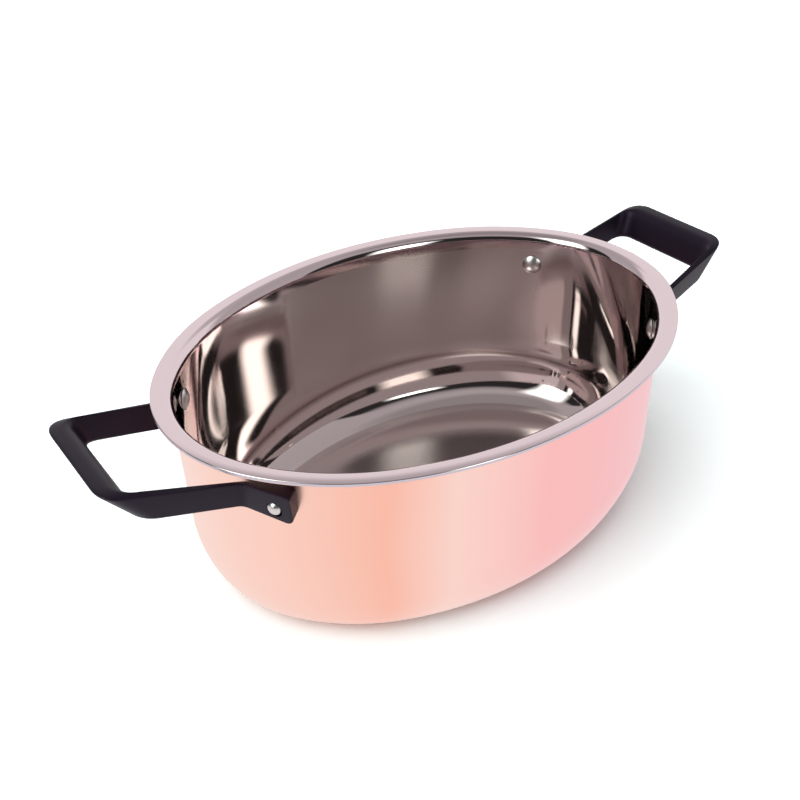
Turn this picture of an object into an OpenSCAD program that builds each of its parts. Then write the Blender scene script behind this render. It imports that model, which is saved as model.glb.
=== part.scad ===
// Oval casserole pressed from three bonded plies, with a loop handle riveted to each end.
// The origin is on the base, in the middle of the pot, with X along the handles and Z up.

/* [Pot] */
// Length of the pot over its lip
lip_l = 280; // [256:2:304]
// Width of the pot over its lip
lip_w = 208; // [192:2:224]
// Height of the pot, from its base to the top of its lip
pot_h = 110; // [90:1:140]
// How far the lip stands out past the wall below it
lip_out = 8.4; // [7:0.2:12]
// Radius under the lip, where the wall turns out
throat_r = 3; // [2:0.5:4.5]
// Slope of the wall, in degrees
wall_draft = 0.7; // [0.2:0.1:2]
// Outside radius of the lower wall
belly_r = 61; // [45:1:80]
// Angle that the lower wall turns through, in degrees
belly_turn = 28; // [18:1:38]
// Outside radius of the bottom corner
base_r = 24; // [16:1:30]

/* [Plies] */
// Thickness of the copper skin
copper_t = 0.5; // [0.3:0.1:1]
// Thickness of the aluminium core
core_t = 1; // [0.6:0.1:2]
// Thickness of the steel lining
steel_t = 0.5; // [0.3:0.1:1]

/* [Grip] */
// How far the grip stands out past the end of the lip
grip_out = 43; // [34:0.5:50]
// How far the top of the grip stands above the lip
grip_rise = 6.3; // [0:0.5:12]
// Width of the grip's top face, from its outer edge to its inner edge
grip_t = 10.8; // [9:0.1:13]
// Height of the grip's outer face
grip_h = 17.4; // [15:0.1:20]
// Width of the grip's underside
grip_under = 2; // [1:0.1:4]
// How far the inner face leans in under the grip
grip_in_lean = 5; // [4:0.1:6]
// How much lower the inner edge of the top face is
grip_fall = 1; // [0:0.1:2]
// How much higher the grip's lower inner edge is than its lower outer edge
grip_rake = 1.9; // [1:0.1:3]

/* [Arms] */
// Width of an arm's top face
arm_t = 2.8; // [2.5:0.1:4]
// Height of an arm where it leaves its foot
arm_h = 13.7; // [12:0.1:16]
// How far the outer face of an arm leans in
arm_lean = 2; // [1:0.1:2.5]
// How far the inner face of an arm leans in
arm_in_lean = 1.8; // [1:0.1:3]
// Angle at which the arms close towards the grip, in degrees
arm_splay = 5.8; // [0:0.1:10]

/* [Feet] */
// Thickness of a foot's top face at its rivet
foot_t = 6.6; // [5.6:0.1:8]
// Height of a foot at its end
foot_h = 16.2; // [14.5:0.1:18]
// How far the outer face of a foot leans in
foot_lean = 1.7; // [0.5:0.1:2.5]
// How far the top of a foot lies below the lip
foot_drop = 9.3; // [8:0.1:12]
// Angle between a foot's outer face and the wall behind it, in degrees
foot_wedge = 12.4; // [9:0.2:16]
// Distance from the rivet to the end of a foot
foot_end = 10.3; // [9:0.1:14]
// Angle at which the end of a foot is cut back towards its bend, in degrees
foot_cut = 15.4; // [5:0.2:20]
// Distance from the rivet to the bend where the arm starts
foot_bend = 13.3; // [11:0.1:16]

/* [Rivets] */
// Diameter of a rivet's shank
rivet_d = 5; // [4:0.1:5.4]
// Place of a rivet round the end of the pot, as the angle of its axis, in degrees
rivet_turn = 39.3; // [37:0.1:46]
// How far a rivet's axis lies below the lip
rivet_drop = 18.7; // [17:0.1:20]
// Diameter of the head inside the pot
inner_head_d = 11; // [8:0.5:13]
// Height of the head inside the pot
inner_head_h = 2; // [1.2:0.1:3]
// Diameter of the head on the foot
outer_head_d = 7; // [6:0.1:8]
// Height of the head on the foot
outer_head_h = 2; // [1.2:0.1:2.6]
// Depth of the flat recess that the outer head sits in
spot_depth = 0.9; // [0.6:0.1:1.4]

/* [Hidden] */
$fn = 96;

// Gap between a foot and the wall that it is cut to fit
seat_gap = 0.1;
// Gap all round a rivet's shank
shank_gap = 0.05;
// Gap between a rivet's head and what it grips
head_gap = 0.05;
// Gap all round an outer head in its recess
spot_gap = 0.35;
// How far every cut runs past what it cuts
overrun = 5;

// Turns at which the arcs of the oval meet, counted from its long axis, in degrees
end_turn = 35;
side_turn = 65;
// Radius of the arc between end and side, as a share of the mean radius of the oval
mid_share = 1.02;

// Rounding of the handle's edges: foot, arm and grip
outer_edge_r = [0.8, 1, 3.4];
inner_edge_r = [0.8, 1.1, 5];
lower_edge_r = [0.8, 1, 1.6];
// The most that one rounding may take of a side of the section, as a share
round_share = 0.45;
// Rounding of the lower corner at the end of a foot
foot_end_r = 4;
// How far the foot's upper edges dip at its end: the outer one, and the one behind the wall
foot_dip = [0.6, 3.4];
// Lengths over which the handle's edges turn a bend or a corner
bend_turn_l = 2.6;
outer_turn_l = 12.4;
inner_turn_l = 7;
lower_turn_l = 9.5;
// Depth to which a foot is drawn into the wall before it is cut to fit
foot_root = 12;
// Numbers of flats round an edge, a bend and a corner
edge_steps = 4;
bend_steps = 5;
turn_steps = 10;
end_steps = 4;

sheet = copper_t + core_t + steel_t;

function dir(turn) = [cos(turn), sin(turn)];
function dot2(p, q) = p[0] * q[0] + p[1] * q[1];

// The oval of the lip: a tangent arc at each end, one along each side and one at each shoulder
half_l = lip_l / 2;
half_w = lip_w / 2;
mid_r = mid_share * sqrt(half_l * half_w);
// The end and side radii follow from the two conditions that the arcs close on both axes
oval_a = half_l - mid_r * (cos(end_turn) - cos(side_turn));
oval_b = half_w + mid_r * (sin(end_turn) - sin(side_turn));
oval_det = (1 - cos(end_turn)) * (1 - sin(side_turn)) - cos(side_turn) * sin(end_turn);
end_r = (oval_a * (1 - sin(side_turn)) - cos(side_turn) * oval_b) / oval_det;
side_r = ((1 - cos(end_turn)) * oval_b - sin(end_turn) * oval_a) / oval_det;
end_c = [half_l - end_r, 0];
mid_c = end_c + (end_r - mid_r) * dir(end_turn);
side_c = mid_c + (mid_r - side_r) * dir(side_turn);

// Each arc, counter-clockwise from the right end: centre, lip radius, start, angle and flats
mid_turn = side_turn - end_turn;
end_flats = 10;
mid_flats = 6;
side_flats = 8;
ARCS = [
    [end_c, end_r, -end_turn, 2 * end_turn, end_flats],
    [mid_c, mid_r, end_turn, mid_turn, mid_flats],
    [side_c, side_r, side_turn, 180 - 2 * side_turn, side_flats],
    [[-mid_c[0], mid_c[1]], mid_r, 180 - side_turn, mid_turn, mid_flats],
    [-end_c, end_r, 180 - end_turn, 2 * end_turn, end_flats],
    [-mid_c, mid_r, 180 + end_turn, mid_turn, mid_flats],
    [-side_c, side_r, 180 + side_turn, 180 - 2 * side_turn, side_flats],
    [[mid_c[0], -mid_c[1]], mid_r, 360 - side_turn, mid_turn, mid_flats]
];

// The oval at a distance in from the lip's edge and a height, as a ring of points
function oval(in, z) = [
    for (arc = ARCS, k = [0:arc[4] - 1])
        let (p = arc[0] + (arc[1] - in) * dir(arc[2] + arc[3] * k / arc[4]))
        [p[0], p[1], z]
];

// The wall's section, as places [distance in from the lip's edge, height]
wall_in = dir(wall_draft);
wall_down = [sin(wall_draft), -cos(wall_draft)];
throat_c = [lip_out - throat_r * cos(wall_draft), pot_h - sheet - throat_r];
wall_top = throat_c + throat_r * wall_in;
belly_end = wall_draft + belly_turn;
wall_foot_z = base_r + (belly_r - base_r) * sin(belly_end) - belly_r * sin(wall_draft);
wall_foot = wall_top + (wall_top[1] - wall_foot_z) / cos(wall_draft) * wall_down;
belly_c = wall_foot + belly_r * wall_in;
base_c = belly_c - (belly_r - base_r) * dir(belly_end);
base_flats = 5;
belly_flats = 3;
throat_flats = 4;

// Distance in from the lip's edge of the outside of the wall at a height
function wall_at(z) = wall_top[0] + (wall_top[1] - z) * tan(wall_draft);

// Points round a centre from one angle to another
function arc_pts(centre, r, a0, a1, flats) =
    [for (k = [0:flats]) centre + r * dir(a0 + (a1 - a0) * k / flats)];

// The section of the sheet at a depth in from its outside, from the floor to the lip's edge
function section(depth) = concat(
    arc_pts(base_c, base_r - depth, 270, 180 + belly_end, base_flats),
    [for (k = [1:belly_flats])
        belly_c + (belly_r - depth) * dir(180 + belly_end - belly_turn * k / belly_flats)],
    arc_pts(throat_c, throat_r + depth, wall_draft, 90, throat_flats),
    [[0, pot_h - sheet + depth]]
);

// A solid skinned over rings of points, closed at both ends
module skin(rings) {
    n = len(rings[0]);
    last = len(rings) - 1;
    polyhedron(
        points = [for (r = rings) each r],
        faces = concat(
            [[for (i = [0:n - 1]) i]],
            [for (k = [0:last - 1], i = [0:n - 1]) each [
                [k * n + i, (k + 1) * n + i, (k + 1) * n + (i + 1) % n],
                [k * n + i, (k + 1) * n + (i + 1) % n, k * n + (i + 1) % n]
            ]],
            [[for (i = [n - 1:-1:0]) last * n + i]]
        )
    );
}

// One ply of the pot between two depths into the sheet, drilled for the rivets
module ply(d0, d1) {
    outside = section(d0);
    inside = section(d1);
    difference() {
        skin(concat(
            [for (p = outside) oval(p[0], p[1])],
            [for (k = [len(inside) - 1:-1:0]) oval(inside[k][0], inside[k][1])]
        ));
        for (sx = [0, 1], sy = [0, 1])
            at_rivet(sx, sy)
                cylinder(r = rivet_d / 2 + shank_gap, h = 2 * (sheet + overrun), center = true);
    }
}

module copper_outer() {
    color("#e9a58f") ply(0, copper_t);
}

module aluminium_core() {
    color("#c9ccd0") ply(copper_t, copper_t + core_t);
}

module steel_liner() {
    color("#b9b0b0") ply(copper_t + core_t, sheet);
}

// The rivets: an axis square to the wall, at the height of the rivet
rivet_z = pot_h - rivet_drop;
rivet_out = mid_r - wall_at(rivet_z);
rivet_in = rivet_out - sheet / cos(wall_draft);
rivet_pt = mid_c + rivet_out * dir(rivet_turn);

// Places what is drawn along Z on a rivet's axis, with zero on the outside of the wall
module at_rivet(flip_x, flip_y) {
    mirror([flip_x, 0, 0])
        mirror([0, flip_y, 0])
            translate([rivet_pt[0], rivet_pt[1], rivet_z])
                rotate([0, 90, rivet_turn])
                    children();
}

// The handle's outer top edge in plan: the lines of foot, arm and grip, with their outward normals
foot_az = rivet_turn - foot_wedge;
foot_n = dir(foot_az);
foot_along = [-foot_n[1], foot_n[0]];
foot_mid = rivet_pt + foot_t * foot_n;
bend_pt = foot_mid - foot_bend * foot_along;
arm_n = dir(90 - arm_splay);
arm_d = dot2(arm_n, bend_pt);
grip_n = [1, 0];
grip_d = half_l + grip_out;
// How far the outer face leans in under the grip
grip_lean = grip_t + grip_in_lean - grip_under;

// Where two lines cross
function cross_at(n1, d1, n2, d2) =
    let (det = n1[0] * n2[1] - n1[1] * n2[0])
    [(d1 * n2[1] - d2 * n1[1]) / det, (n1[0] * d2 - n2[0] * d1) / det];

// One edge of the handle as its foot end, bend and corner: how far it lies in from the
// outer top edge on foot, arm and grip, and how far below it at the end, bend and corner
foot_top = pot_h - foot_drop;
grip_top = pot_h + grip_rise;
function edge(ins, falls) =
    let (
        end = foot_mid + (foot_end - ins[0] * tan(foot_cut)) * foot_along - ins[0] * foot_n,
        bend = bend_pt - ins[1] * arm_n,
        corner = cross_at(arm_n, arm_d - ins[1], grip_n, grip_d - ins[2])
    )
    [
        [end[0], end[1], foot_top - falls[0]],
        [bend[0], bend[1], foot_top - falls[1]],
        [corner[0], corner[1], grip_top - falls[2]]
    ];

// Points of a smooth turn past a corner, which leaves and joins its sides at a given length
function turn(a, v, b, reach, steps) =
    let (
        p = v + reach * (a - v) / norm(a - v),
        q = v + reach * (b - v) / norm(b - v)
    )
    [for (k = [0:steps]) let (t = k / steps) (1 - t) * (1 - t) * p + 2 * t * (1 - t) * v + t * t * q];

// Half of an edge, from the end of its foot to the middle of the grip
function half_edge(e, reach, end_lift) =
    let (mid = [e[2][0], 0, e[2][2]], back = (e[1] - e[0]) / norm(e[1] - e[0]))
    concat(
        [for (k = [0:end_steps]) let (a = 90 * k / end_steps)
            e[0] + foot_end_r * (1 - cos(a)) * back + [0, 0, end_lift * (1 - sin(a))]],
        turn(e[0], e[1], e[2], bend_turn_l, bend_steps),
        turn(e[1], e[2], mid, reach, turn_steps),
        [mid]
    );

// How far along the foot, arm and grip each station is, to blend the edge rounding
function blend(r) =
    concat(
        [for (k = [0:end_steps]) r[0]],
        [for (k = [0:bend_steps]) r[0] + (r[1] - r[0]) * k / bend_steps],
        [for (k = [0:turn_steps]) r[1] + (r[2] - r[1]) * k / turn_steps],
        [r[2]]
    );

function flip(list) =
    concat(list, [for (k = [len(list) - 2:-1:0]) [list[k][0], -list[k][1], list[k][2]]]);
function mirrored(list) = concat(list, [for (k = [len(list) - 2:-1:0]) list[k]]);

// The four edges, in order round the section, and their rounding
EDGES = [
    flip(half_edge(edge([0, 0, 0], [0, 0, 0]), outer_turn_l, -foot_dip[0])),
    flip(half_edge(edge([foot_root, arm_t, grip_t], [0, 0, grip_fall]), inner_turn_l, -foot_dip[1])),
    flip(half_edge(edge([foot_root, arm_t + arm_in_lean, grip_t + grip_in_lean],
        [foot_h, arm_h, grip_h - grip_rake]), inner_turn_l, foot_end_r)),
    flip(half_edge(edge([foot_lean, arm_lean, grip_lean],
        [foot_h, arm_h, grip_h]), lower_turn_l, foot_end_r))
];
ROUNDS = [for (r = [outer_edge_r, inner_edge_r, lower_edge_r, lower_edge_r]) mirrored(blend(r))];

// The rounded section at one station
function ring(k) = [
    for (j = [0:3])
        let (
            v = EDGES[j][k],
            a = EDGES[(j + 3) % 4][k],
            b = EDGES[(j + 1) % 4][k]
        )
        each turn(a, v, b, min(ROUNDS[j][k], round_share * norm(a - v), round_share * norm(b - v)),
            edge_steps)
];

// The wall behind the feet, grown by the gap that they are cut to
module wall_behind() {
    skin([for (z = [wall_foot[1], wall_top[1]]) oval(wall_at(z) - seat_gap, z)]);
}

// How far out from the wall the recess for an outer head starts
spot_at = foot_t / cos(foot_wedge) - foot_lean * (rivet_drop - foot_drop) / foot_h - spot_depth;

module handle() {
    difference() {
        skin([for (k = [0:len(EDGES[0]) - 1]) ring(k)]);
        wall_behind();
        for (sy = [0, 1])
            at_rivet(0, sy) {
                cylinder(r = rivet_d / 2 + shank_gap, h = 2 * (foot_root + overrun), center = true);
                translate([0, 0, spot_at])
                    cylinder(r = outer_head_d / 2 + spot_gap, h = foot_t + overrun);
            }
    }
}

module handle_left() {
    color("#2f2b31") mirror([1, 0, 0]) handle();
}

module handle_right() {
    color("#2f2b31") handle();
}

// A low domed head that stands on its flat side
module head(d, h) {
    dome_r = (d * d / 4 + h * h) / (2 * h);
    rotate_extrude()
        intersection() {
            translate([0, h - dome_r]) circle(dome_r);
            square([d / 2, h]);
        }
}

// The inner head stands off the hollow of the wall by the depth that its width spans there,
// and by the depth of the wall's flats
hollow = rivet_in - sqrt(rivet_in * rivet_in - inner_head_d * inner_head_d / 4)
    + inner_head_d / 2 * tan(wall_draft) + rivet_in * (1 - cos(mid_turn / mid_flats / 2));
inner_at = rivet_in - rivet_out - hollow - head_gap;

// The shank runs a little way into both heads, so that the rivet is one piece
module rivet(flip_x, flip_y) {
    color("#d8d4d2")
        at_rivet(flip_x, flip_y) {
            translate([0, 0, inner_at - head_gap])
                cylinder(r = rivet_d / 2, h = spot_at - inner_at + 3 * head_gap);
            translate([0, 0, spot_at + head_gap]) head(outer_head_d, outer_head_h);
            translate([0, 0, inner_at]) mirror([0, 0, 1]) head(inner_head_d, inner_head_h);
        }
}

module rivet_left_front() {
    rivet(1, 1);
}

module rivet_left_rear() {
    rivet(1, 0);
}

module rivet_right_front() {
    rivet(0, 1);
}

module rivet_right_rear() {
    rivet(0, 0);
}

copper_outer();
aluminium_core();
steel_liner();
handle_left();
handle_right();
rivet_left_front();
rivet_left_rear();
rivet_right_front();
rivet_right_rear();
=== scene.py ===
import math

import bmesh
import bpy
from mathutils import Euler, Matrix, Vector


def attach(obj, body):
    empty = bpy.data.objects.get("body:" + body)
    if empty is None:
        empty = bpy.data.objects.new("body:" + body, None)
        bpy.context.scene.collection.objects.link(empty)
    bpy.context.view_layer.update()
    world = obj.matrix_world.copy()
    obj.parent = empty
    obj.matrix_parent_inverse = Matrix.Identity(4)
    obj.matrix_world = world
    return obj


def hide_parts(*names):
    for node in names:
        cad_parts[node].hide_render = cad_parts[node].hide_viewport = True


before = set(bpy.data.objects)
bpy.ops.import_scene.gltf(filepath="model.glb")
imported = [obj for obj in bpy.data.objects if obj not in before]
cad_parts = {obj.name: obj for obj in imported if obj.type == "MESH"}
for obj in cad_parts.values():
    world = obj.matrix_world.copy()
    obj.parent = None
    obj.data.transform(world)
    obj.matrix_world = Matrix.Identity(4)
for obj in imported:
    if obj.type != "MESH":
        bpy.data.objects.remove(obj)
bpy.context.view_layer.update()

scene = bpy.context.scene
mm = 0.001
weldGap = 0.0005 * mm  # between stray doubles in a finished mesh
seamGap = 0.002 * mm  # between the first and last column of a skin


# Sizes of the pot, in millimetres and degrees
pot = {
    "lipLength": 280,
    "lipWidth": 208,
    "height": 110,
    "lipOut": 8.4,
    "throatRadius": 3,
    "wallDraft": 0.7,
    "bellyRadius": 61,
    "bellyTurn": 28,
    "baseRadius": 24,
    "copper": 0.5,
    "core": 1,
    "steel": 0.5,
    "endTurn": 35,
    "sideTurn": 65,
    "shoulderShare": 1.02,
    "edgeRound": 0.45,
    "floorShares": [0, 0.3, 0.6, 0.9],  # rings across the floor, from its middle
    "baseSteps": 20, "bellySteps": 14, "throatSteps": 12, "edgeSteps": 4,
    "around": 288, "sharpAngle": 35,
}


def direction(turn):
    return Vector((math.cos(math.radians(turn)), math.sin(math.radians(turn))))


# The oval lip is eight tangent arcs: one at each end, one along each side, one at each shoulder
def ovalArcs():
    halfLength = pot["lipLength"] / 2
    halfWidth = pot["lipWidth"] / 2
    end = direction(pot["endTurn"])
    side = direction(pot["sideTurn"])
    radius = pot["shoulderShare"] * math.sqrt(halfLength * halfWidth)
    a = halfLength - radius * (end.x - side.x)
    b = halfWidth + radius * (end.y - side.y)
    det = (1 - end.x) * (1 - side.y) - side.x * end.y
    endRadius = (a * (1 - side.y) - side.x * b) / det
    sideRadius = ((1 - end.x) * b - end.y * a) / det
    endCentre = Vector((halfLength - endRadius, 0))
    shoulderCentre = endCentre + (endRadius - radius) * end
    sideCentre = shoulderCentre + (radius - sideRadius) * side
    return {
        "end": (endCentre, endRadius),
        "shoulder": (shoulderCentre, radius),
        "side": (sideCentre, sideRadius),
    }


arcs = ovalArcs()
sheet = pot["copper"] + pot["core"] + pot["steel"]


# Key places of the wall's section, as (distance in from the lip's edge, height)
def wallPlaces():
    draft = math.radians(pot["wallDraft"])
    inward = Vector((math.cos(draft), math.sin(draft)))
    down = Vector((math.sin(draft), -math.cos(draft)))
    throat = Vector((pot["lipOut"] - pot["throatRadius"] * inward.x,
                     pot["height"] - sheet - pot["throatRadius"]))
    top = throat + pot["throatRadius"] * inward
    bellyEnd = pot["wallDraft"] + pot["bellyTurn"]
    footZ = (pot["baseRadius"] + (pot["bellyRadius"] - pot["baseRadius"]) * direction(bellyEnd).y
             - pot["bellyRadius"] * inward.y)
    foot = top + (top.y - footZ) / math.cos(draft) * down
    belly = foot + pot["bellyRadius"] * inward
    base = belly - (pot["bellyRadius"] - pot["baseRadius"]) * direction(bellyEnd)
    return {"throat": throat, "top": top, "foot": foot, "belly": belly, "base": base,
            "bellyEnd": bellyEnd}


wall = wallPlaces()


def wallInset(z):
    return wall["top"].x + (wall["top"].y - z) * math.tan(math.radians(pot["wallDraft"]))


def arcPoints(centre, radius, start, end, steps):
    turns = [start + (end - start) * k / steps for k in range(steps + 1)]
    return [centre + radius * direction(turn) for turn in turns]


# The sheet's section at a depth in from its outside, from the floor to the lip's edge
def sheetSection(depth):
    points = arcPoints(wall["base"], pot["baseRadius"] - depth,
                       270, 180 + wall["bellyEnd"], pot["baseSteps"])
    points += arcPoints(wall["belly"], pot["bellyRadius"] - depth,
                        180 + wall["bellyEnd"], 180 + pot["wallDraft"], pot["bellySteps"])[1:]
    points += arcPoints(wall["throat"], pot["throatRadius"] + depth,
                        pot["wallDraft"], 90, pot["throatSteps"])
    points.append(Vector((0, pot["height"] - sheet + depth)))
    return points


# One ply as a closed section: (inset, height, share), where the share draws the floor to its middle
def plySection(outer, inner, roundOuter, roundInner):
    outside = sheetSection(outer)
    inside = sheetSection(inner)
    edge = pot["edgeRound"]
    if roundOuter:
        lip = outside.pop()
        outside += arcPoints(lip + Vector((edge, edge)), edge, 270, 180, pot["edgeSteps"])
    if roundInner:
        lip = inside.pop()
        inside += arcPoints(lip + Vector((edge, -edge)), edge, 90, 180, pot["edgeSteps"])
    rings = [(outside[0].x, outside[0].y, share) for share in pot["floorShares"]]
    rings += [(p.x, p.y, 1) for p in outside]
    rings += [(p.x, p.y, 1) for p in reversed(inside)]
    rings += [(inside[0].x, inside[0].y, share) for share in reversed(pot["floorShares"])]
    return rings


def newObject(name, data):
    obj = bpy.data.objects.new(name, data)
    scene.collection.objects.link(obj)
    return obj


def pointMesh(name, points):
    mesh = bpy.data.meshes.new(name)
    mesh.from_pydata(points, [], [])
    return newObject(name, mesh)


# Adds a node, with its settings and the links or values of its inputs
def addNode(tree, kind, inputs=None, **settings):
    node = tree.nodes.new(kind)
    for name, value in settings.items():
        setattr(node, name, value)
    for key, value in (inputs or {}).items():
        if isinstance(value, bpy.types.NodeSocket):
            tree.links.new(value, node.inputs[key])
        else:
            node.inputs[key].default_value = value
    return node


def newGeometryTree(name, sizes):
    tree = bpy.data.node_groups.new(name, "GeometryNodeTree")
    tree.interface.new_socket("Geometry", in_out="INPUT", socket_type="NodeSocketGeometry")
    for size, kind in sizes:
        tree.interface.new_socket(size, in_out="INPUT", socket_type=kind)
    tree.interface.new_socket("Geometry", in_out="OUTPUT", socket_type="NodeSocketGeometry")
    return tree


# Leaves what a modifier makes as the object's plain mesh
def applyModifier(obj, modifier):
    bpy.context.view_layer.update()
    evaluated = obj.evaluated_get(bpy.context.evaluated_depsgraph_get())
    mesh = bpy.data.meshes.new_from_object(evaluated)
    obj.modifiers.remove(modifier)
    old = obj.data
    obj.data = mesh
    bpy.data.meshes.remove(old)
    mesh.name = obj.name


def runTree(obj, tree, values):
    modifier = obj.modifiers.new(tree.name, "NODES")
    modifier.node_group = tree
    for item in tree.interface.items_tree:
        if item.in_out == "INPUT" and item.name in values:
            modifier[item.identifier] = values[item.name]
    applyModifier(obj, modifier)


def finishMesh(obj, sharpAngle):
    work = bmesh.new()
    work.from_mesh(obj.data)
    bmesh.ops.remove_doubles(work, verts=work.verts, dist=weldGap)
    bmesh.ops.dissolve_degenerate(work, edges=work.edges, dist=weldGap)
    bmesh.ops.recalc_face_normals(work, faces=work.faces)
    work.to_mesh(obj.data)
    work.free()
    obj.data.shade_smooth()
    obj.data.set_sharp_from_angle(angle=math.radians(sharpAngle))


# A grid that goes once round: gives it, each point's turn, and the section's point for its row
def addRoundGrid(tree, given):
    columns = addNode(tree, "ShaderNodeMath", {0: given["Around"], 1: 1.0},
                      operation="ADD").outputs[0]
    grid = addNode(tree, "GeometryNodeMeshGrid",
                   {"Vertices X": columns, "Vertices Y": given["Rings"]}).outputs[0]
    index = addNode(tree, "GeometryNodeInputIndex").outputs[0]
    ratio = addNode(tree, "ShaderNodeMath", {0: index, 1: given["Rings"]},
                    operation="DIVIDE").outputs[0]
    column = addNode(tree, "ShaderNodeMath", {0: ratio}, operation="FLOOR").outputs[0]
    row = addNode(tree, "ShaderNodeMath", {0: index, 1: given["Rings"]},
                  operation="MODULO").outputs[0]
    share = addNode(tree, "ShaderNodeMath", {0: column, 1: given["Around"]},
                    operation="DIVIDE").outputs[0]
    turn = addNode(tree, "ShaderNodeMath", {0: share, 1: math.tau},
                   operation="MULTIPLY").outputs[0]
    place = addNode(tree, "GeometryNodeInputPosition").outputs[0]
    point = addNode(tree, "GeometryNodeSampleIndex",
                    {"Geometry": given["Geometry"], "Value": place, "Index": row},
                    data_type="FLOAT_VECTOR").outputs[0]
    return grid, turn, point


# Puts the grid's points in place and closes the seam where the round ends
def placeGrid(tree, grid, spots):
    moved = addNode(tree, "GeometryNodeSetPosition", {"Geometry": grid, "Position": spots})
    return addNode(tree, "GeometryNodeMergeByDistance",
                   {"Geometry": moved.outputs[0], "Distance": seamGap}).outputs[0]


def endTree(tree, geometry, material):
    real = addNode(tree, "GeometryNodeRealizeInstances", {"Geometry": geometry})
    painted = addNode(tree, "GeometryNodeSetMaterial",
                      {"Geometry": real.outputs[0], "Material": material})
    addNode(tree, "NodeGroupOutput", {"Geometry": painted.outputs[0]})


# Skins a section round the oval: each point keeps its inset from the lip's edge and its height
def buildOvalTree():
    tree = newGeometryTree("ovalShell", [
        ("Around", "NodeSocketInt"), ("Rings", "NodeSocketInt"),
        ("End turn", "NodeSocketFloat"), ("Side turn", "NodeSocketFloat"),
        ("End radius", "NodeSocketFloat"), ("Shoulder radius", "NodeSocketFloat"),
        ("Side radius", "NodeSocketFloat"), ("End centre", "NodeSocketVector"),
        ("Shoulder centre", "NodeSocketVector"), ("Side centre", "NodeSocketVector"),
        ("Material", "NodeSocketMaterial"),
    ])
    given = addNode(tree, "NodeGroupInput").outputs
    grid, turn, point = addRoundGrid(tree, given)
    cosine = addNode(tree, "ShaderNodeMath", {0: turn}, operation="COSINE").outputs[0]
    sine = addNode(tree, "ShaderNodeMath", {0: turn}, operation="SINE").outputs[0]
    outward = addNode(tree, "ShaderNodeCombineXYZ", {0: cosine, 1: sine}).outputs[0]
    folded = addNode(tree, "ShaderNodeVectorMath", {0: outward}, operation="ABSOLUTE").outputs[0]
    quadrant = addNode(tree, "ShaderNodeVectorMath", {0: outward}, operation="SIGN").outputs[0]
    parts = addNode(tree, "ShaderNodeSeparateXYZ", {0: folded}).outputs
    fold = addNode(tree, "ShaderNodeMath", {0: parts[1], 1: parts[0]},
                   operation="ARCTAN2").outputs[0]
    pastEnd, pastSide = [
        addNode(tree, "ShaderNodeMath", {0: fold, 1: given[edge]},
                operation="GREATER_THAN").outputs[0]
        for edge in ("End turn", "Side turn")]
    arc = {}
    for size, kind in (("radius", "FLOAT"), ("centre", "VECTOR")):
        nearEnd = addNode(tree, "GeometryNodeSwitch", {
            "Switch": pastEnd, "False": given["End " + size], "True": given["Shoulder " + size],
        }, input_type=kind).outputs[0]
        arc[size] = addNode(tree, "GeometryNodeSwitch", {
            "Switch": pastSide, "False": nearEnd, "True": given["Side " + size],
        }, input_type=kind).outputs[0]
    inset, height, share = addNode(tree, "ShaderNodeSeparateXYZ", {0: point}).outputs
    reach = addNode(tree, "ShaderNodeMath", {0: arc["radius"], 1: inset},
                    operation="SUBTRACT").outputs[0]
    spoke = addNode(tree, "ShaderNodeVectorMath", {0: folded, "Scale": reach},
                    operation="SCALE").outputs[0]
    spot = addNode(tree, "ShaderNodeVectorMath", {0: arc["centre"], 1: spoke},
                   operation="ADD").outputs[0]
    spot = addNode(tree, "ShaderNodeVectorMath", {0: spot, 1: quadrant},
                   operation="MULTIPLY").outputs[0]
    spot = addNode(tree, "ShaderNodeVectorMath", {0: spot, "Scale": share},
                   operation="SCALE").outputs[0]
    rise = addNode(tree, "ShaderNodeCombineXYZ", {2: height}).outputs[0]
    spot = addNode(tree, "ShaderNodeVectorMath", {0: spot, 1: rise}, operation="ADD").outputs[0]
    endTree(tree, placeGrid(tree, grid, spot), given["Material"])
    return tree


# A ply's points hold the share unscaled, so only the two lengths turn to metres
def makePly(name, rings, material):
    points = [(inset * mm, height * mm, share) for inset, height, share in rings]
    obj = pointMesh(name, points)
    sizes = {"Around": pot["around"], "Rings": len(rings), "Material": material,
             "End turn": math.radians(pot["endTurn"]), "Side turn": math.radians(pot["sideTurn"])}
    for arc, (centre, radius) in arcs.items():
        sizes[arc.capitalize() + " radius"] = radius * mm
        sizes[arc.capitalize() + " centre"] = (centre.x * mm, centre.y * mm, 0)
    runTree(obj, ovalTree, sizes)
    finishMesh(obj, pot["sharpAngle"])
    return obj


def toLinear(hexColour):
    channels = [int(hexColour[k:k + 2], 16) / 255 for k in (1, 3, 5)]
    linear = [c / 12.92 if c <= 0.04045 else ((c + 0.055) / 1.055) ** 2.4 for c in channels]
    return (*linear, 1)


def grey(level):
    return (level, level, level, 1)


def fillRamp(node, stops):
    ramp = node.color_ramp
    for k, (place, colour) in enumerate(stops):
        stop = ramp.elements[k] if k < 2 else ramp.elements.new(place)
        stop.position = place
        stop.color = colour


# Gives a material, a world or a lamp an empty tree
def clearTree(owner):
    owner.use_nodes = True
    owner.node_tree.nodes.clear()
    return owner.node_tree


# A new material with its tree, and the place on the object that its patterns follow
def newMaterial(name):
    material = bpy.data.materials.new(name)
    tree = clearTree(material)
    return material, tree, addNode(tree, "ShaderNodeTexCoord").outputs["Object"]


# How uneven a finish is: the width and depth of its dents in millimetres
def addDents(tree, place, dents):
    noise = addNode(tree, "ShaderNodeTexNoise", {
        "Vector": place, "Scale": 1 / (dents["width"] * mm), "Detail": dents["detail"]})
    return addNode(tree, "ShaderNodeBump", {
        "Height": noise.outputs[0], "Strength": dents["strength"], "Distance": dents["depth"] * mm,
    }).outputs[0]


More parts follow.
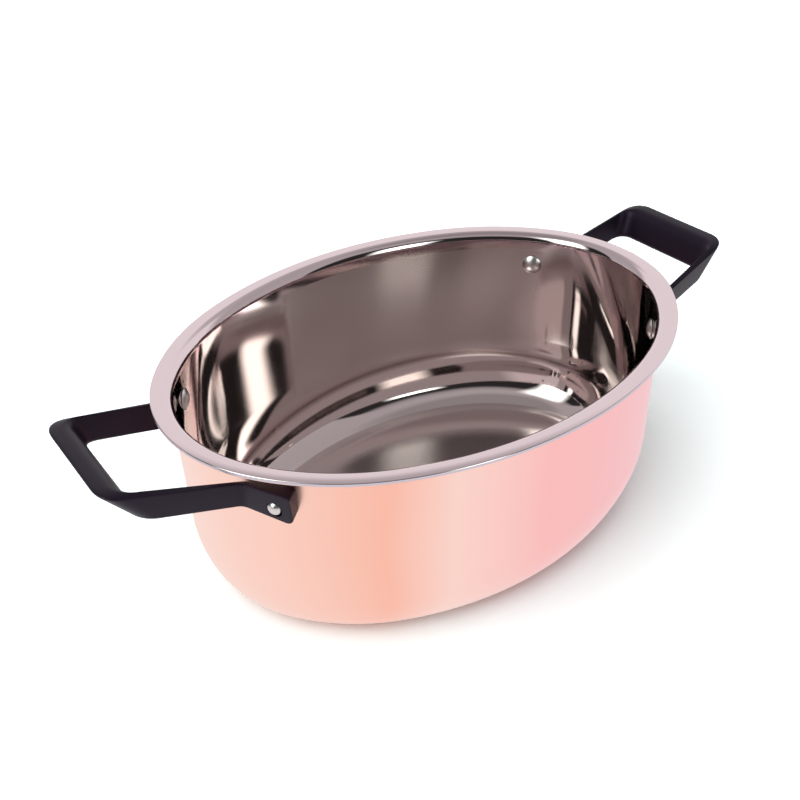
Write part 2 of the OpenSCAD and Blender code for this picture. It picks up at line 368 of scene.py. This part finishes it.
# Rolled and polished copper: a satin mirror, whose colour drifts from peach to pink along the pot,
# with painted reflection in the lighter and darker bands of that drift
def satinPolishedCopper():
    look = {
        "tonesWithPaintedReflection": [(0.05, "#FFDACE"), (0.26, "#FFC0AC"), (0.355, "#FFD8CE"), (0.53, "#FFC0BE"),
                  (0.9, "#FABCC4")],  # share of the lip's length, colour
        "wander": 20, "wanderWidth": 90,  # the tones stray this far, in patches this wide
        "roughness": 0.3,
        "grain": {"width": 0.35, "detail": 2.0, "strength": 0.06, "depth": 0.05},
    }
    material, tree, place = newMaterial("satin polished copper")
    along = addNode(tree, "ShaderNodeSeparateXYZ", {0: place}).outputs[0]
    drift = addNode(tree, "ShaderNodeTexNoise", {
        "Vector": place, "Scale": 1 / (look["wanderWidth"] * mm), "Detail": 1.0}).outputs[0]
    along = addNode(tree, "ShaderNodeMath", {0: drift, 1: look["wander"] * mm, 2: along},
                    operation="MULTIPLY_ADD").outputs[0]
    share = addNode(tree, "ShaderNodeMapRange", {
        "Value": along, "From Min": -pot["lipLength"] / 2 * mm,
        "From Max": pot["lipLength"] / 2 * mm}).outputs[0]
    # Painted reflection: the lighter and darker stops of this ramp stand for light falling on the
    # copper, not for its own colour
    tonesWithPaintedReflection = addNode(tree, "ShaderNodeValToRGB", {0: share})
    fillRamp(tonesWithPaintedReflection, [(level, toLinear(tone)) for level, tone in look["tonesWithPaintedReflection"]])
    shader = addNode(tree, "ShaderNodeBsdfPrincipled", {
        "Base Color": tonesWithPaintedReflection.outputs[0], "Metallic": 1.0, "Roughness": look["roughness"],
        "Normal": addDents(tree, place, look["grain"])})
    addNode(tree, "ShaderNodeOutputMaterial", {"Surface": shader.outputs[0]})
    return material


# Rolled aluminium, cut across at the lip: dull and pale
def sawnAluminium():
    look = {"colour": "#D9D3DE", "grainColour": "#C3BCC9", "grainWidth": 0.5, "roughness": 0.42}
    material, tree, place = newMaterial("cut aluminium core")
    grain = addNode(tree, "ShaderNodeTexNoise", {
        "Vector": place, "Scale": 1 / (look["grainWidth"] * mm)})
    tint = addNode(tree, "ShaderNodeMix", {
        0: grain.outputs[0], 6: toLinear(look["colour"]), 7: toLinear(look["grainColour"]),
    }, data_type="RGBA")
    shader = addNode(tree, "ShaderNodeBsdfPrincipled", {
        "Base Color": tint.outputs[2], "Metallic": 1.0, "Roughness": look["roughness"]})
    addNode(tree, "ShaderNodeOutputMaterial", {"Surface": shader.outputs[0]})
    return material


# Pressed stainless lining: a polished mirror, not quite even, so reflections wander; brushed up
# and down on the far long side, which draws them out, and a touch duller on the floor
def buffedStainlessLining():
    look = {
        "wall": "#D9D0CE",
        # Painted reflection tints, pinker at the lip and on the floor than on the wall: colours,
        # and the heights where they start and are full
        "lip": ("#DBC8CC", pot["height"] - 9, pot["height"] - 5),
        "bottom": ("#D9C7C7", 30, 22),
        "polished": 0.05, "anisotropic": 0.9, "upright": 0.25,  # a quarter turn off round the pot
        # Roughness of the other zones, and their edges: axis, where they start and are full
        "floor": (0.06, [(2, 7, 5)]),
        "brushed": (0.2, [(2, 31, 34), (2, 101, 100), (0, -32, -28), (0, 116, 112), (1, 0, 10)]),
        "waves": {"width": 60, "detail": 0.0, "strength": 1.0, "depth": 0.05},
    }
    material, tree, place = newMaterial("buffed stainless lining")
    spot = addNode(tree, "ShaderNodeSeparateXYZ", {0: place}).outputs
    colour = toLinear(look["wall"])
    # Painted reflection: the same steel gets pinker tints at the lip and on the floor
    for tint, start, full in (look["lip"], look["bottom"]):
        inside = addNode(tree, "ShaderNodeMapRange", {
            "Value": spot[2], "From Min": start * mm, "From Max": full * mm}).outputs[0]
        colour = addNode(tree, "ShaderNodeMix", {0: inside, 6: colour, 7: toLinear(tint)},
                         data_type="RGBA").outputs[2]
    roughness = look["polished"]
    for finish, edges in (look["floor"], look["brushed"]):
        zone = 1.0
        for axis, start, full in edges:
            inside = addNode(tree, "ShaderNodeMapRange", {
                "Value": spot[axis], "From Min": start * mm, "From Max": full * mm}).outputs[0]
            zone = addNode(tree, "ShaderNodeMath", {0: inside, 1: zone},
                           operation="MULTIPLY").outputs[0]
        roughness = addNode(tree, "ShaderNodeMix", {0: zone, 2: roughness, 3: finish},
                            data_type="FLOAT").outputs[0]
    around = addNode(tree, "ShaderNodeTangent", direction_type="RADIAL", axis="Z")
    shader = addNode(tree, "ShaderNodeBsdfPrincipled", {
        "Base Color": colour, "Metallic": 1.0, "Roughness": roughness,
        "Normal": addDents(tree, place, look["waves"]), "Anisotropic": look["anisotropic"],
        "Anisotropic Rotation": look["upright"], "Tangent": around.outputs[0]})
    addNode(tree, "ShaderNodeOutputMaterial", {"Surface": shader.outputs[0]})
    return material


# Turned stainless rivet: a small bright dome with a faint grain
def polishedStainlessRivet():
    look = {"colour": "#DDD5D5", "roughness": 0.3,
            "grain": {"width": 0.4, "detail": 2.0, "strength": 0.1, "depth": 0.02}}
    material, tree, place = newMaterial("polished stainless rivet")
    shader = addNode(tree, "ShaderNodeBsdfPrincipled", {
        "Base Color": toLinear(look["colour"]), "Metallic": 1.0, "Roughness": look["roughness"],
        "Normal": addDents(tree, place, look["grain"])})
    addNode(tree, "ShaderNodeOutputMaterial", {"Surface": shader.outputs[0]})
    return material


# Cast handle under a black, fine-grained satin coating
def blackCoatedCasting():
    look = {"colour": "#150F1B", "roughness": 0.4, "specular": 0.24, "sheen": "#F8D8FF",
            "grain": {"width": 0.5, "detail": 3.0, "strength": 0.12, "depth": 0.05}}
    material, tree, place = newMaterial("black coated casting")
    shader = addNode(tree, "ShaderNodeBsdfPrincipled", {
        "Base Color": toLinear(look["colour"]), "Roughness": look["roughness"],
        "Specular IOR Level": look["specular"], "Specular Tint": toLinear(look["sheen"]),
        "Normal": addDents(tree, place, look["grain"])})
    addNode(tree, "ShaderNodeOutputMaterial", {"Surface": shader.outputs[0]})
    return material


ovalTree = buildOvalTree()
copperMetal = satinPolishedCopper()
aluminiumMetal = sawnAluminium()
liningSteel = buffedStainlessLining()
rivetSteel = polishedStainlessRivet()
blackCoating = blackCoatedCasting()

toCore = pot["copper"]
toSteel = pot["copper"] + pot["core"]
copperShell = makePly("copperShell", plySection(0, toCore, True, False), copperMetal)
coreSheet = makePly("coreSheet", plySection(toCore, toSteel, False, False), aluminiumMetal)
steelLining = makePly("steelLining", plySection(toSteel, sheet, False, True), liningSteel)
print("pot: three plies skinned round the oval")


# Sizes of a loop handle, in millimetres and degrees; lists run foot, arm, grip
handle = {
    "gripOut": 42.93, "gripRise": 6.25, "gripFall": 1, "gripRake": 1.9,  # a hair inside the solid
    "top": [0, 2.8, 10.8],
    "outerLean": [1.7, 2, 13.8],
    "innerLean": [0, 1.8, 5],
    "height": [16.2, 13.7, 17.4],
    "armSplay": 5.8,
    "footThick": 6.6, "footRoot": 12, "footDrop": 9.3, "footWedge": 12.4,
    "footEnd": 10.3, "footCut": 15.4, "footBend": 13.3, "footCorner": 4, "footDip": [0.6, 3.4],
    "outerRound": [0.8, 1, 3.4], "innerRound": [0.8, 1.1, 5], "lowerRound": [0.8, 1, 1.6],
    "bendTurn": 2.6, "outerTurn": 12.4, "innerTurn": 7, "lowerTurn": 9.5,
    "seatGap": 0.1,
    "edgeSteps": 7, "bendSteps": 8, "turnSteps": 22, "endSteps": 6, "seatSteps": 256,
    "roundLimit": 2.2,  # a rounding takes at most a face's width over this
    "sharpAngle": 30,
}

# Sizes of a rivet, in millimetres and degrees
rivet = {
    "shank": 5, "shankGap": 0.05, "turn": 39.3, "drop": 18.7,
    "innerHead": 11, "innerRise": 2, "outerHead": 7, "outerRise": 2,
    "spotDepth": 0.9, "spotGap": 0.35, "headGap": 0.05, "drillReach": 20,
    "around": 48, "domeSteps": 14, "sharpAngle": 35,
}

shoulderCentre, shoulderRadius = arcs["shoulder"]
rivetZ = pot["height"] - rivet["drop"]
rivetSpot = shoulderCentre + (shoulderRadius - wallInset(rivetZ)) * direction(rivet["turn"])
footNormal = direction(rivet["turn"] - handle["footWedge"])
footAlong = Vector((-footNormal.y, footNormal.x))
footMiddle = rivetSpot + handle["footThick"] * footNormal
bendSpot = footMiddle - handle["footBend"] * footAlong
armNormal = direction(90 - handle["armSplay"])
gripNormal = Vector((1, 0))
spotStart = (handle["footThick"] / math.cos(math.radians(handle["footWedge"]))
             - handle["outerLean"][0] * (rivet["drop"] - handle["footDrop"]) / handle["height"][0]
             - rivet["spotDepth"])


def crossing(normalA, distanceA, normalB, distanceB):
    det = normalA.x * normalB.y - normalA.y * normalB.x
    return Vector(((distanceA * normalB.y - distanceB * normalA.y) / det,
                   (normalA.x * distanceB - normalB.x * distanceA) / det))


# One edge of the handle, from foot end to bend to corner, set in and down from its outer top edge
def handleEdge(ins, falls):
    footTop = pot["height"] - handle["footDrop"]
    gripTop = pot["height"] + handle["gripRise"]
    armAt = armNormal.dot(bendSpot) - ins[1]
    gripAt = pot["lipLength"] / 2 + handle["gripOut"] - ins[2]
    cutBack = ins[0] * math.tan(math.radians(handle["footCut"]))
    end = footMiddle + (handle["footEnd"] - cutBack) * footAlong - ins[0] * footNormal
    bend = bendSpot - ins[1] * armNormal
    corner = crossing(armNormal, armAt, gripNormal, gripAt)
    return [Vector((*end, footTop - falls[0])), Vector((*bend, footTop - falls[1])),
            Vector((*corner, gripTop - falls[2]))]


def smoothTurn(a, v, b, reach, steps):
    p = v + reach * (a - v).normalized()
    q = v + reach * (b - v).normalized()
    points = []
    for k in range(steps + 1):
        t = k / steps
        points.append((1 - t) ** 2 * p + 2 * t * (1 - t) * v + t * t * q)
    return points


def halfEdge(edge, reach, endLift):
    middle = Vector((edge[2].x, 0, edge[2].z))
    back = (edge[1] - edge[0]).normalized()
    points = []
    for k in range(handle["endSteps"] + 1):
        lift = math.pi / 2 * k / handle["endSteps"]
        points.append(edge[0] + handle["footCorner"] * (1 - math.cos(lift)) * back
                      + Vector((0, 0, endLift * (1 - math.sin(lift)))))
    points += smoothTurn(edge[0], edge[1], edge[2], handle["bendTurn"], handle["bendSteps"])
    points += smoothTurn(edge[1], edge[2], middle, reach, handle["turnSteps"])
    points.append(middle)
    return points


# Radii along half an edge: even on the foot, then running over the bend and the corner
def halfRounding(sizes):
    rounding = [sizes[0]] * (handle["endSteps"] + 1)
    for k, steps in enumerate((handle["bendSteps"], handle["turnSteps"])):
        change = sizes[k + 1] - sizes[k]
        rounding += [sizes[k] + change * step / steps for step in range(steps + 1)]
    return rounding + [sizes[2]]


# Skins a closed solid over rings of points, each as long as the next
def skinRings(name, rings):
    count = len(rings[0])
    work = bmesh.new()
    verts = [[work.verts.new(p) for p in ring] for ring in rings]
    for a, b in zip(verts, verts[1:]):
        for k in range(count):
            work.faces.new((a[k], a[(k + 1) % count], b[(k + 1) % count], b[k]))
    work.faces.new(verts[0])
    work.faces.new(verts[-1])
    bmesh.ops.recalc_face_normals(work, faces=work.faces)
    mesh = bpy.data.meshes.new(name)
    work.to_mesh(mesh)
    work.free()
    return newObject(name, mesh)


def ovalRing(inset, z, steps):
    points = []
    for k in range(steps):
        turn = math.tau * k / steps
        c, s = math.cos(turn), math.sin(turn)
        fold = math.degrees(math.atan2(abs(s), abs(c)))
        name = "end" if fold < pot["endTurn"] else "shoulder" if fold < pot["sideTurn"] else "side"
        centre, radius = arcs[name]
        x = centre.x + (radius - inset) * abs(c)
        y = centre.y + (radius - inset) * abs(s)
        points.append(Vector((math.copysign(x, c), math.copysign(y, s), z)) * mm)
    return points


def cutAway(obj, cutter):
    modifier = obj.modifiers.new("cut", "BOOLEAN")
    modifier.operation = "DIFFERENCE"
    modifier.solver = "EXACT"
    modifier.object = cutter
    applyModifier(obj, modifier)
    bpy.data.objects.remove(cutter)


# Turns what is drawn along Z onto a rivet's axis, with zero on the outside of the wall
def rivetFrame(side):
    turn = math.radians(rivet["turn"]) * side
    spot = Vector((rivetSpot.x, rivetSpot.y * side, rivetZ)) * mm
    return Matrix.Translation(spot) @ Euler((0, math.pi / 2, turn)).to_matrix().to_4x4()


def drillRing(side, radius, z):
    turns = [360 * k / rivet["around"] for k in range(rivet["around"])]
    return [rivetFrame(side) @ (Vector((*(radius * direction(turn)), z)) * mm) for turn in turns]


def makeHandle(name, side):
    heights = handle["height"]
    innerLow = [handle["top"][k] + handle["innerLean"][k] for k in (1, 2)]
    edges = [
        halfEdge(handleEdge([0, 0, 0], [0, 0, 0]), handle["outerTurn"], -handle["footDip"][0]),
        halfEdge(handleEdge([handle["footRoot"], *handle["top"][1:]], [0, 0, handle["gripFall"]]),
                 handle["innerTurn"], -handle["footDip"][1]),
        halfEdge(handleEdge([handle["footRoot"], *innerLow],
                            [*heights[:2], heights[2] - handle["gripRake"]]),
                 handle["innerTurn"], handle["footCorner"]),
        halfEdge(handleEdge(handle["outerLean"], heights),
                 handle["lowerTurn"], handle["footCorner"]),
    ]
    rounds = [halfRounding(handle[edge + "Round"]) for edge in ("outer", "inner", "lower", "lower")]
    half = []
    for k in range(len(edges[0])):
        ring = []
        for j in range(4):
            v, a, b = edges[j][k], edges[j - 1][k], edges[(j + 1) % 4][k]
            reach = min(rounds[j][k], (a - v).length / handle["roundLimit"],
                        (b - v).length / handle["roundLimit"])
            ring += smoothTurn(a, v, b, reach, handle["edgeSteps"])
        half.append([p * mm for p in ring])
    mirrored = [[Vector((p.x, -p.y, p.z)) for p in ring] for ring in reversed(half[:-1])]
    obj = skinRings(name, half + mirrored)
    seat = [ovalRing(wallInset(z) - handle["seatGap"], z, handle["seatSteps"])
            for z in (wall["foot"].y, wall["top"].y)]
    cutAway(obj, skinRings("seat", seat))
    shankHole = (rivet["shank"] / 2 + rivet["shankGap"], -rivet["drillReach"])
    spotFace = (rivet["outerHead"] / 2 + rivet["spotGap"], spotStart)
    for way in (1, -1):
        for radius, start in (shankHole, spotFace):
            drill = [drillRing(way, radius, z) for z in (start, rivet["drillReach"])]
            cutAway(obj, skinRings("drill", drill))
    if side < 0:
        obj.data.transform(Matrix.Diagonal((-1, 1, 1, 1)))
    obj.data.materials.clear()
    obj.data.materials.append(blackCoating)
    finishMesh(obj, handle["sharpAngle"])
    return obj


handleRight = makeHandle("loopHandleRight", 1)
handleLeft = makeHandle("loopHandleLeft", -1)
print("handles: lofted, seated on the wall and spot-faced")


# A rivet's outline from its inner dome to its outer dome, as (radius, height) along its axis
def rivetOutline():
    draft = math.radians(pot["wallDraft"])
    rivetOut = shoulderRadius - wallInset(rivetZ)
    rivetIn = rivetOut - sheet / math.cos(draft)
    half = rivet["innerHead"] / 2
    hollow = rivetIn - math.sqrt(rivetIn ** 2 - half ** 2) + half * math.tan(draft)
    innerAt = rivetIn - rivetOut - hollow - rivet["headGap"]
    outerAt = spotStart + rivet["headGap"]
    points = []
    for width, rise, at, way in ((rivet["innerHead"], rivet["innerRise"], innerAt, -1),
                                 (rivet["outerHead"], rivet["outerRise"], outerAt, 1)):
        dome = (width ** 2 / 4 + rise ** 2) / (2 * rise)
        spread = math.degrees(math.asin(min(1, width / 2 / dome)))
        arc = arcPoints(Vector((rise - dome, 0)), dome, 0, spread, rivet["domeSteps"])
        head = [(p.y, at + way * p.x) for p in arc]
        head.append((rivet["shank"] / 2, at))
        points += head if way < 0 else list(reversed(head))
    return points


# Lathes the outline and stands one on each of the four rivet axes
def buildRivetTree():
    tree = newGeometryTree("domedRivets", [
        ("Rings", "NodeSocketInt"), ("Around", "NodeSocketInt"), ("Place", "NodeSocketVector"),
        ("Turn", "NodeSocketFloat"), ("Material", "NodeSocketMaterial"),
    ])
    given = addNode(tree, "NodeGroupInput").outputs
    grid, turn, outline = addRoundGrid(tree, given)
    lathed = addNode(tree, "ShaderNodeVectorRotate", {"Vector": outline, "Angle": turn},
                     rotation_type="Z_AXIS").outputs[0]
    oneRivet = placeGrid(tree, grid, lathed)
    line = addNode(tree, "GeometryNodeMeshLine", {"Count": 4}).outputs[0]
    number = addNode(tree, "GeometryNodeInputIndex").outputs[0]
    pair = addNode(tree, "ShaderNodeMath", {0: number, 1: 2.0}, operation="DIVIDE").outputs[0]
    pair = addNode(tree, "ShaderNodeMath", {0: pair}, operation="FLOOR").outputs[0]
    odd = addNode(tree, "ShaderNodeMath", {0: number, 1: 2.0}, operation="MODULO").outputs[0]
    sideX, sideY = [
        addNode(tree, "ShaderNodeMath", {0: step, 1: 2.0, 2: -1.0},
                operation="MULTIPLY_ADD").outputs[0]
        for step in (pair, odd)]
    sides = addNode(tree, "ShaderNodeCombineXYZ", {0: sideX, 1: sideY, 2: 1.0}).outputs[0]
    spot = addNode(tree, "ShaderNodeVectorMath", {0: given["Place"], 1: sides},
                   operation="MULTIPLY").outputs[0]
    spots = addNode(tree, "GeometryNodeSetPosition", {"Geometry": line, "Position": spot})
    cosine = addNode(tree, "ShaderNodeMath", {0: given["Turn"]}, operation="COSINE").outputs[0]
    sine = addNode(tree, "ShaderNodeMath", {0: given["Turn"]}, operation="SINE").outputs[0]
    east = addNode(tree, "ShaderNodeMath", {0: cosine, 1: sideX}, operation="MULTIPLY").outputs[0]
    north = addNode(tree, "ShaderNodeMath", {0: sine, 1: sideY}, operation="MULTIPLY").outputs[0]
    heading = addNode(tree, "ShaderNodeMath", {0: north, 1: east}, operation="ARCTAN2").outputs[0]
    tilt = addNode(tree, "ShaderNodeCombineXYZ", {1: math.pi / 2, 2: heading}).outputs[0]
    copies = addNode(tree, "GeometryNodeInstanceOnPoints", {
        "Points": spots.outputs[0], "Instance": oneRivet, "Rotation": tilt})
    endTree(tree, copies.outputs[0], given["Material"])
    return tree


def makeRivets():
    outline = rivetOutline()
    points = [(radius * mm, 0, along * mm) for radius, along in outline]
    obj = pointMesh("domedRivets", points)
    runTree(obj, buildRivetTree(), {
        "Rings": len(outline), "Around": rivet["around"], "Material": rivetSteel,
        "Place": (rivetSpot.x * mm, rivetSpot.y * mm, rivetZ * mm),
        "Turn": math.radians(rivet["turn"])})
    finishMesh(obj, rivet["sharpAngle"])
    return obj


rivets = makeRivets()
print("rivets: one lathed outline on four axes")

pieces = [
    (copperShell, copperMetal, "copper", ["copper_outer"]),
    (coreSheet, aluminiumMetal, "aluminium", ["aluminium_core"]),
    (steelLining, liningSteel, "lining_steel", ["steel_liner"]),
    (handleRight, blackCoating, "handle_black", ["handle_right"]),
    (handleLeft, blackCoating, "handle_black", ["handle_left"]),
    (rivets, rivetSteel, "rivet_steel",
     ["rivet_left_front", "rivet_left_rear", "rivet_right_front", "rivet_right_rear"]),
]
for piece, finish, slotName, nodes in pieces:
    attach(piece, "root")
    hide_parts(*nodes)
    for node in nodes:  # the hidden solids wear the same finish
        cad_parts[node].data.materials.clear()
        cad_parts[node].data.materials.append(finish)
print("pieces: riding on the one body")


# The studio: a white floor and backdrop, one wide soft light for what is matt, and for the mirrors
# two bright cards and a room that is dark behind the camera, which draw the bands in the steel
studio = {
    "floorSize": 12, "floorColour": "#F4F4F4",
    "floorSeen": (1.65, 1.76, 1.75, 1),  # the camera's view of it, so that it comes out white
    "floorMirrored": 0.93,  # how far it is plain white in mirrors
    "world": 0.36, "worldInMetal": 0.02,  # light on what is matt, and what metal passes on to it
    # How far towards the backdrop's middle each wall of the room starts and is full
    "backdropTurn": 45, "flankFrom": (-0.21, -0.17), "backdropFrom": (0.42, 0.55),
    # Height on the sky, light
    "darkSide": [(0, 0.03), (0.67, 0.03), (0.76, 0.4), (0.84, 0.52), (0.9, 0.5), (0.95, 0.35)],
    "flank": [(0, 0.55), (0.9, 0.5), (0.95, 0.35)],
    "backdrop": [(0, 1), (0.62, 1), (0.72, 0.6), (0.9, 0.5), (0.95, 0.35)],
    "lightPlace": (-0.72, -0.1, 1.3), "lightPower": 1.6, "lightAngle": 60,
    # Name, turn, height, size, share of each side that fades, power
    "cards": [("left card", 184, 0.95, (1.05, 1.7), (0.35, 0.3), 26),
              ("front card", -86, 0.48, (0.52, 0.8), (0.35, 0.01), 5)],
    "cardDistance": 1.2, "cardTint": (0.86, 1, 0.93, 1),
    "aim": (0, 0, 0.08),
}


# 1 for what a mirror shows the camera, 0 for light on its way to something matt
def mirrorView(tree, ray):
    return addNode(tree, "ShaderNodeMath", {0: ray["Is Glossy Ray"], 1: ray["Diffuse Depth"]},
                   operation="SUBTRACT", use_clamp=True).outputs[0]


floorMaterial = bpy.data.materials.new("matt white floor")
floorTree = clearTree(floorMaterial)
ray = addNode(floorTree, "ShaderNodeLightPath").outputs
paint = addNode(floorTree, "ShaderNodeMix", {
    0: ray["Is Camera Ray"], 6: toLinear(studio["floorColour"]), 7: studio["floorSeen"],
}, data_type="RGBA").outputs[2]
matt = addNode(floorTree, "ShaderNodeBsdfDiffuse", {"Color": paint})
white = addNode(floorTree, "ShaderNodeEmission", {"Color": grey(1), "Strength": 1.0})
whiteShare = addNode(floorTree, "ShaderNodeMath", {
    0: mirrorView(floorTree, ray), 1: studio["floorMirrored"]}, operation="MULTIPLY").outputs[0]
floorLook = addNode(floorTree, "ShaderNodeMixShader", {
    0: whiteShare, 1: matt.outputs[0], 2: white.outputs[0]})
addNode(floorTree, "ShaderNodeOutputMaterial", {"Surface": floorLook.outputs[0]})

half = studio["floorSize"] / 2
floorMesh = bpy.data.meshes.new("floor")
floorMesh.from_pydata([(-half, -half, 0), (half, -half, 0), (half, half, 0), (-half, half, 0)],
                      [], [(0, 1, 2, 3)])
floorMesh.materials.append(floorMaterial)
newObject("floor", floorMesh)

# What is matt gets an even white; mirrors see the backdrop, its greyer flanks or the dark room
world = bpy.data.worlds.new("white backdrop and dark room")
scene.world = world
worldTree = clearTree(world)
way = addNode(worldTree, "ShaderNodeTexCoord").outputs["Object"]
upward = addNode(worldTree, "ShaderNodeSeparateXYZ", {0: way}).outputs[2]


def skyRamp(stops):
    ramp = addNode(worldTree, "ShaderNodeValToRGB", {0: upward})
    fillRamp(ramp, [(place, grey(light)) for place, light in stops])
    return ramp.outputs[0]


facing = addNode(worldTree, "ShaderNodeVectorMath", {
    0: way, 1: (*direction(studio["backdropTurn"]), 0)}, operation="DOT_PRODUCT").outputs["Value"]
room = skyRamp(studio["darkSide"])
for part in ("flank", "backdrop"):
    start, full = studio[part + "From"]
    past = addNode(worldTree, "ShaderNodeMapRange", {
        "Value": facing, "From Min": start, "From Max": full}).outputs[0]
    room = addNode(worldTree, "ShaderNodeMix", {0: past, 6: room, 7: skyRamp(studio[part])},
                   data_type="RGBA").outputs[2]
ray = addNode(worldTree, "ShaderNodeLightPath").outputs
light = grey(studio["world"])
for share, seen in ((ray["Is Glossy Ray"], grey(studio["worldInMetal"])),
                    (mirrorView(worldTree, ray), room), (ray["Is Camera Ray"], grey(1))):
    light = addNode(worldTree, "ShaderNodeMix", {0: share, 6: light, 7: seen},
                    data_type="RGBA").outputs[2]
sky = addNode(worldTree, "ShaderNodeBackground", {"Color": light})
addNode(worldTree, "ShaderNodeOutputWorld", {"Surface": sky.outputs[0]})


def placeLamp(name, kind, place, power, mirrored):
    data = bpy.data.lights.new(name, kind)
    data.energy = power
    lamp = newObject(name, data)
    lamp.location = place
    way = Vector(studio["aim"]) - Vector(place)
    lamp.rotation_euler = way.to_track_quat("-Z", "Y").to_euler()
    lamp.visible_glossy = mirrored
    lamp.visible_diffuse = not mirrored
    return data


# A bright card that only mirrors see, fading to nothing at its edges
def placeCard(name, turn, height, size, fades, power):
    place = (*(studio["cardDistance"] * direction(turn)), height)
    card = placeLamp(name, "AREA", place, power, True)
    card.shape = "RECTANGLE"
    card.size, card.size_y = size
    tree = clearTree(card)
    spot = addNode(tree, "ShaderNodeNewGeometry").outputs["Parametric"]
    spot = addNode(tree, "ShaderNodeSeparateXYZ", {0: spot}).outputs
    shine = 1.0
    for axis, fade in enumerate(fades):
        edge = addNode(tree, "ShaderNodeMath", {0: spot[axis], 1: 0.5},
                       operation="PINGPONG").outputs[0]
        inside = addNode(tree, "ShaderNodeMapRange", {"Value": edge, "From Max": fade},
                         interpolation_type="SMOOTHSTEP").outputs[0]
        shine = addNode(tree, "ShaderNodeMath", {0: inside, 1: shine},
                        operation="MULTIPLY").outputs[0]
    depth = addNode(tree, "ShaderNodeLightPath").outputs["Diffuse Depth"]
    shine = addNode(tree, "ShaderNodeMath", {0: shine, 1: depth}, operation="SUBTRACT",
                    use_clamp=True).outputs[0]
    shine = addNode(tree, "ShaderNodeEmission", {"Color": studio["cardTint"], "Strength": shine})
    addNode(tree, "ShaderNodeOutputLight", {"Surface": shine.outputs[0]})


wideLight = placeLamp("wide soft light", "SUN", studio["lightPlace"], studio["lightPower"], False)
wideLight.angle = math.radians(studio["lightAngle"])
for card in studio["cards"]:
    placeCard(*card)
print("studio: floor, backdrop, soft light and cards")

# The camera: place in millimetres, angles in degrees, with the roll of a hand-held frame
view = {"place": (-256.08, -352.01, 371.45), "azimuth": -34.173, "elevation": 34.808,
        "roll": -2.235, "lens": 46.098, "sensor": 36, "clipStart": 0.01}
cameraData = bpy.data.cameras.new("camera")
cameraData.lens = view["lens"]
cameraData.sensor_width = view["sensor"]
cameraData.clip_start = view["clipStart"]
camera = newObject("camera", cameraData)
aim = Euler((math.radians(90 - view["elevation"]), 0, math.radians(view["azimuth"]))).to_matrix()
aim = aim @ Matrix.Rotation(math.radians(view["roll"]), 3, "Z")
camera.matrix_world = Matrix.Translation(Vector(view["place"]) * mm) @ aim.to_4x4()
scene.camera = camera
scene.view_settings.view_transform = "Standard"

bpy.context.view_layer.update()
